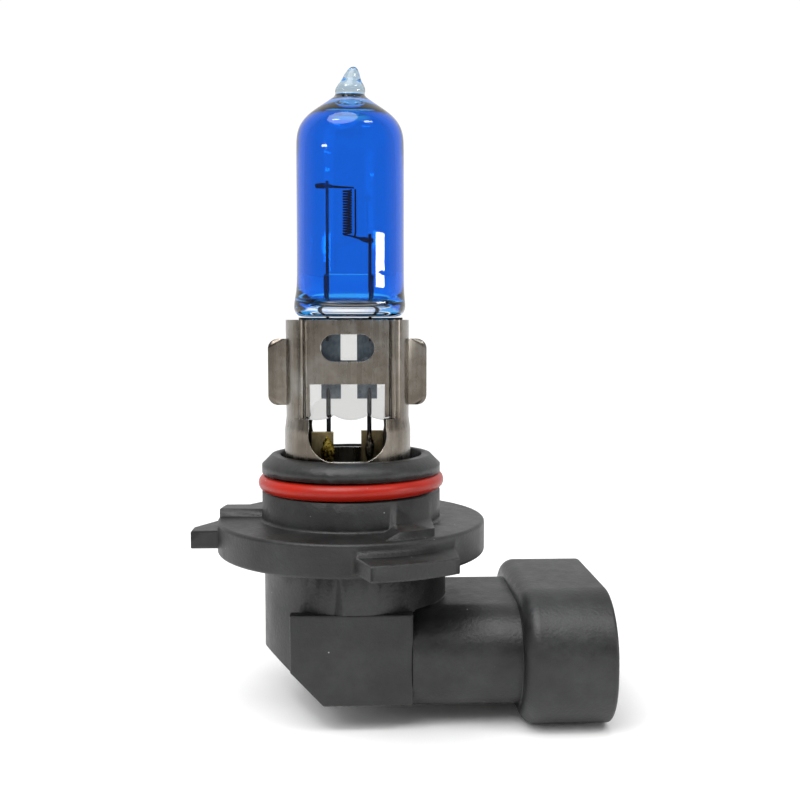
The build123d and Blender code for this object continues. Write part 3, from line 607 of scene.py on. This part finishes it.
# place in millimetres, tilt and turn in degrees
view = {"place": (0.40, -116.93, 22.4), "tilt": 85.5, "turn": -2.5, "lens": 46.9}
cameraData = bpy.data.cameras.new("camera")
cameraData.lens = view["lens"]
cameraData.sensor_width = 36
cameraData.clip_start = 0.01
camera = bpy.data.objects.new("camera", cameraData)
camera.location = Vector(view["place"]) * mm
camera.rotation_euler = (math.radians(view["tilt"]), 0, math.radians(view["turn"]))
bpy.context.scene.collection.objects.link(camera)
bpy.context.scene.camera = camera
bpy.context.scene.view_settings.view_transform = "Standard"

# size in metres, uneven in millimetres
ground = {"size": 3.0, "uneven": 60, "paint": ("F8F8F8", "FBFBFB")}
bm = bmesh.new()
bmesh.ops.create_grid(bm, x_segments=1, y_segments=1, size=ground["size"])
bmesh.ops.translate(bm, verts=bm.verts, vec=(0, 0, cadBox[0].z))
floorMesh = bpy.data.meshes.new("floor")
bm.to_mesh(floorMesh)
bm.free()
floor = bpy.data.objects.new("floor", floorMesh)
bpy.context.scene.collection.objects.link(floor)
floorPaint, tree = newMaterial("floorPaint")      # matt white paint, faintly uneven
place = addNode(tree, "ShaderNodeTexCoord").outputs["Object"]
uneven = addNode(tree, "ShaderNodeTexNoise", {}, {
    "Vector": place, "Scale": perMm(ground["uneven"])}).outputs[0]
paint = addNode(tree, "ShaderNodeMix", {"data_type": "RGBA"}, {
    "Factor": uneven, "A": rgb(ground["paint"][0]), "B": rgb(ground["paint"][1])}).outputs["Result"]
floorShader = addNode(tree, "ShaderNodeBsdfPrincipled", {}, {"Base Color": paint, "Roughness": 0.9})
addNode(tree, "ShaderNodeOutputMaterial", {}, {"Surface": floorShader.outputs[0]})
floor.data.materials.append(floorPaint)

# place in millimetres, size in metres, power in watts. The softbox lights without being mirrored
lights = {
    "rightStrip": {"place": (334, -150, 54), "size": (0.14, 0.0135), "power": 0.2},
    "leftSpot": {"place": (-303, -211, 104), "size": (0.08, 0.003), "power": 0.02},
    "leftDash": {"place": (-150, -170, 330), "size": (0.09, 0.03), "power": 0.16},
    "rightDash": {"place": (190, -170, 300), "size": (0.11, 0.045), "power": 0.24},
    "leftSoftbox": {"place": (-330, -260, 200), "size": (0.2, 0.3), "power": 0.5, "mirrored": False}}
lit = Vector((0, 0, 20)) * mm      # where the lights point
for name, light in lights.items():
    data = bpy.data.lights.new(name, "AREA")
    data.shape = "RECTANGLE"
    data.size, data.size_y = light["size"]
    data.energy = light["power"]
    lamp = bpy.data.objects.new(name, data)
    lamp.visible_glossy = light.get("mirrored", True)
    lamp.location = Vector(light["place"]) * mm
    lamp.rotation_euler = (lit - lamp.location).to_track_quat("-Z", "Y").to_euler()
    bpy.context.scene.collection.objects.link(lamp)

# a wide soft light from above and a little in front. Angles in degrees
sky = {"energy": 2.55, "angle": 50, "tilt": 24, "lean": -14}
overhead = bpy.data.lights.new("overhead", "SUN")
overhead.energy = sky["energy"]
overhead.angle = math.radians(sky["angle"])
overheadLamp = bpy.data.objects.new("overhead", overhead)
overheadLamp.rotation_euler = (math.radians(sky["tilt"]), math.radians(sky["lean"]), 0)
bpy.context.scene.collection.objects.link(overheadLamp)

# the studio is white where it is seen straight or through glass. Where it lights the bulb it is
# dim in front and brighter behind, so that level faces catch a sheen
studio = {"front": 0.26, "back": 0.9, "seen": 1.02, "frontEdge": -0.2, "backEdge": 0.7}
world = bpy.data.worlds.new("studio")
world.use_nodes = True
tree = world.node_tree
path = addNode(tree, "ShaderNodeLightPath")
seen = addNode(tree, "ShaderNodeMath", {"operation": "MAXIMUM"}, {
    0: path.outputs["Is Camera Ray"], 1: path.outputs["Is Transmission Ray"]}).outputs[0]
ray = addNode(tree, "ShaderNodeTexCoord").outputs["Generated"]
direction = addNode(tree, "ShaderNodeSeparateXYZ", {}, {0: ray})
unseen = addNode(tree, "ShaderNodeMapRange", {}, {
    "Value": direction.outputs["Y"], "From Min": studio["frontEdge"], "From Max": studio["backEdge"],
    "To Min": studio["front"], "To Max": studio["back"]}).outputs[0]
strength = addNode(tree, "ShaderNodeMix", {}, {
    "Factor": seen, "A": unseen, "B": studio["seen"]}).outputs["Result"]
tree.nodes["Background"].inputs["Color"].default_value = (1, 1, 1, 1)
tree.links.new(strength, tree.nodes["Background"].inputs["Strength"])
bpy.context.scene.world = world
print("stage made")
